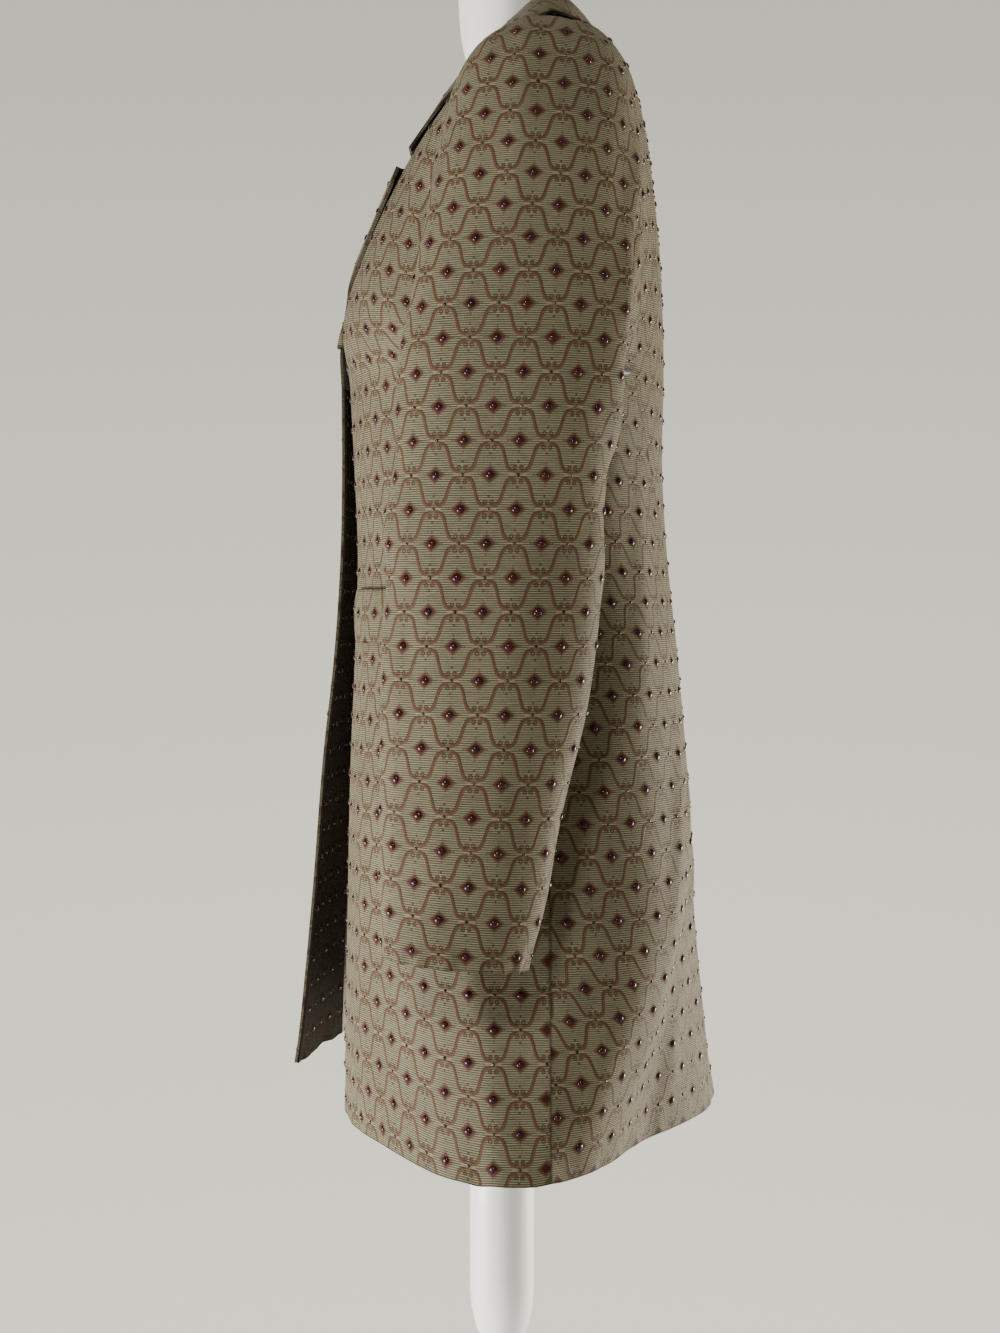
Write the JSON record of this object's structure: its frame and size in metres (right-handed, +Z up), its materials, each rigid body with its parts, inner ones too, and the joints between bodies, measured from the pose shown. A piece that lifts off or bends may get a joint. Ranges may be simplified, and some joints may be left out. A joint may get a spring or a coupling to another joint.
{
  "type": "brocade coat on a limbless dress form",
  "caption": "Flared, fitted coat in beaded ogee brocade with notched collar, set-in sleeves and pocket flaps, worn open on a white limbless dress form with post and round base.",
  "frame": {"origin": "centre of the stand base's underside, on the floor", "axes": "+Z up; -Y is where the coat's front faces; +X is the wearer's left"},
  "size_m": [0.554, 0.34, 1.49],
  "materials": {
    "left_front": "silk brocade, ribbed, soft sheen",
    "right_front": "silk brocade, ribbed, soft sheen",
    "left_side_back": "silk brocade, ribbed, soft sheen",
    "right_side_back": "silk brocade, ribbed, soft sheen",
    "back": "silk brocade, ribbed, soft sheen",
    "left_sleeve": "silk brocade, ribbed, soft sheen",
    "right_sleeve": "silk brocade, ribbed, soft sheen",
    "left_lapel": "silk brocade, ribbed, soft sheen",
    "right_lapel": "silk brocade, ribbed, soft sheen",
    "left_facing": "silk brocade, ribbed, soft sheen",
    "right_facing": "silk brocade, ribbed, soft sheen",
    "collar": "silk brocade, ribbed, soft sheen",
    "left_pocket_flap": "silk brocade, ribbed, soft sheen",
    "right_pocket_flap": "silk brocade, ribbed, soft sheen",
    "form_torso": "smooth white cover",
    "stand_post": "white paint, satin",
    "stand_base": "white paint, satin"
  },
  "bodies": {
    "root": {"left_front": "left_front", "right_front": "right_front", "left_side_back": "left_side_back", "right_side_back": "right_side_back", "back": "back", "left_sleeve": "left_sleeve", "right_sleeve": "right_sleeve", "left_lapel": "left_lapel", "right_lapel": "right_lapel", "left_facing": "left_facing", "right_facing": "right_facing", "collar": "collar", "left_pocket_flap": "left_pocket_flap", "right_pocket_flap": "right_pocket_flap", "form_torso": "form_torso", "stand_post": "stand_post", "stand_base": "stand_base"}
  },
  "joints": []
}
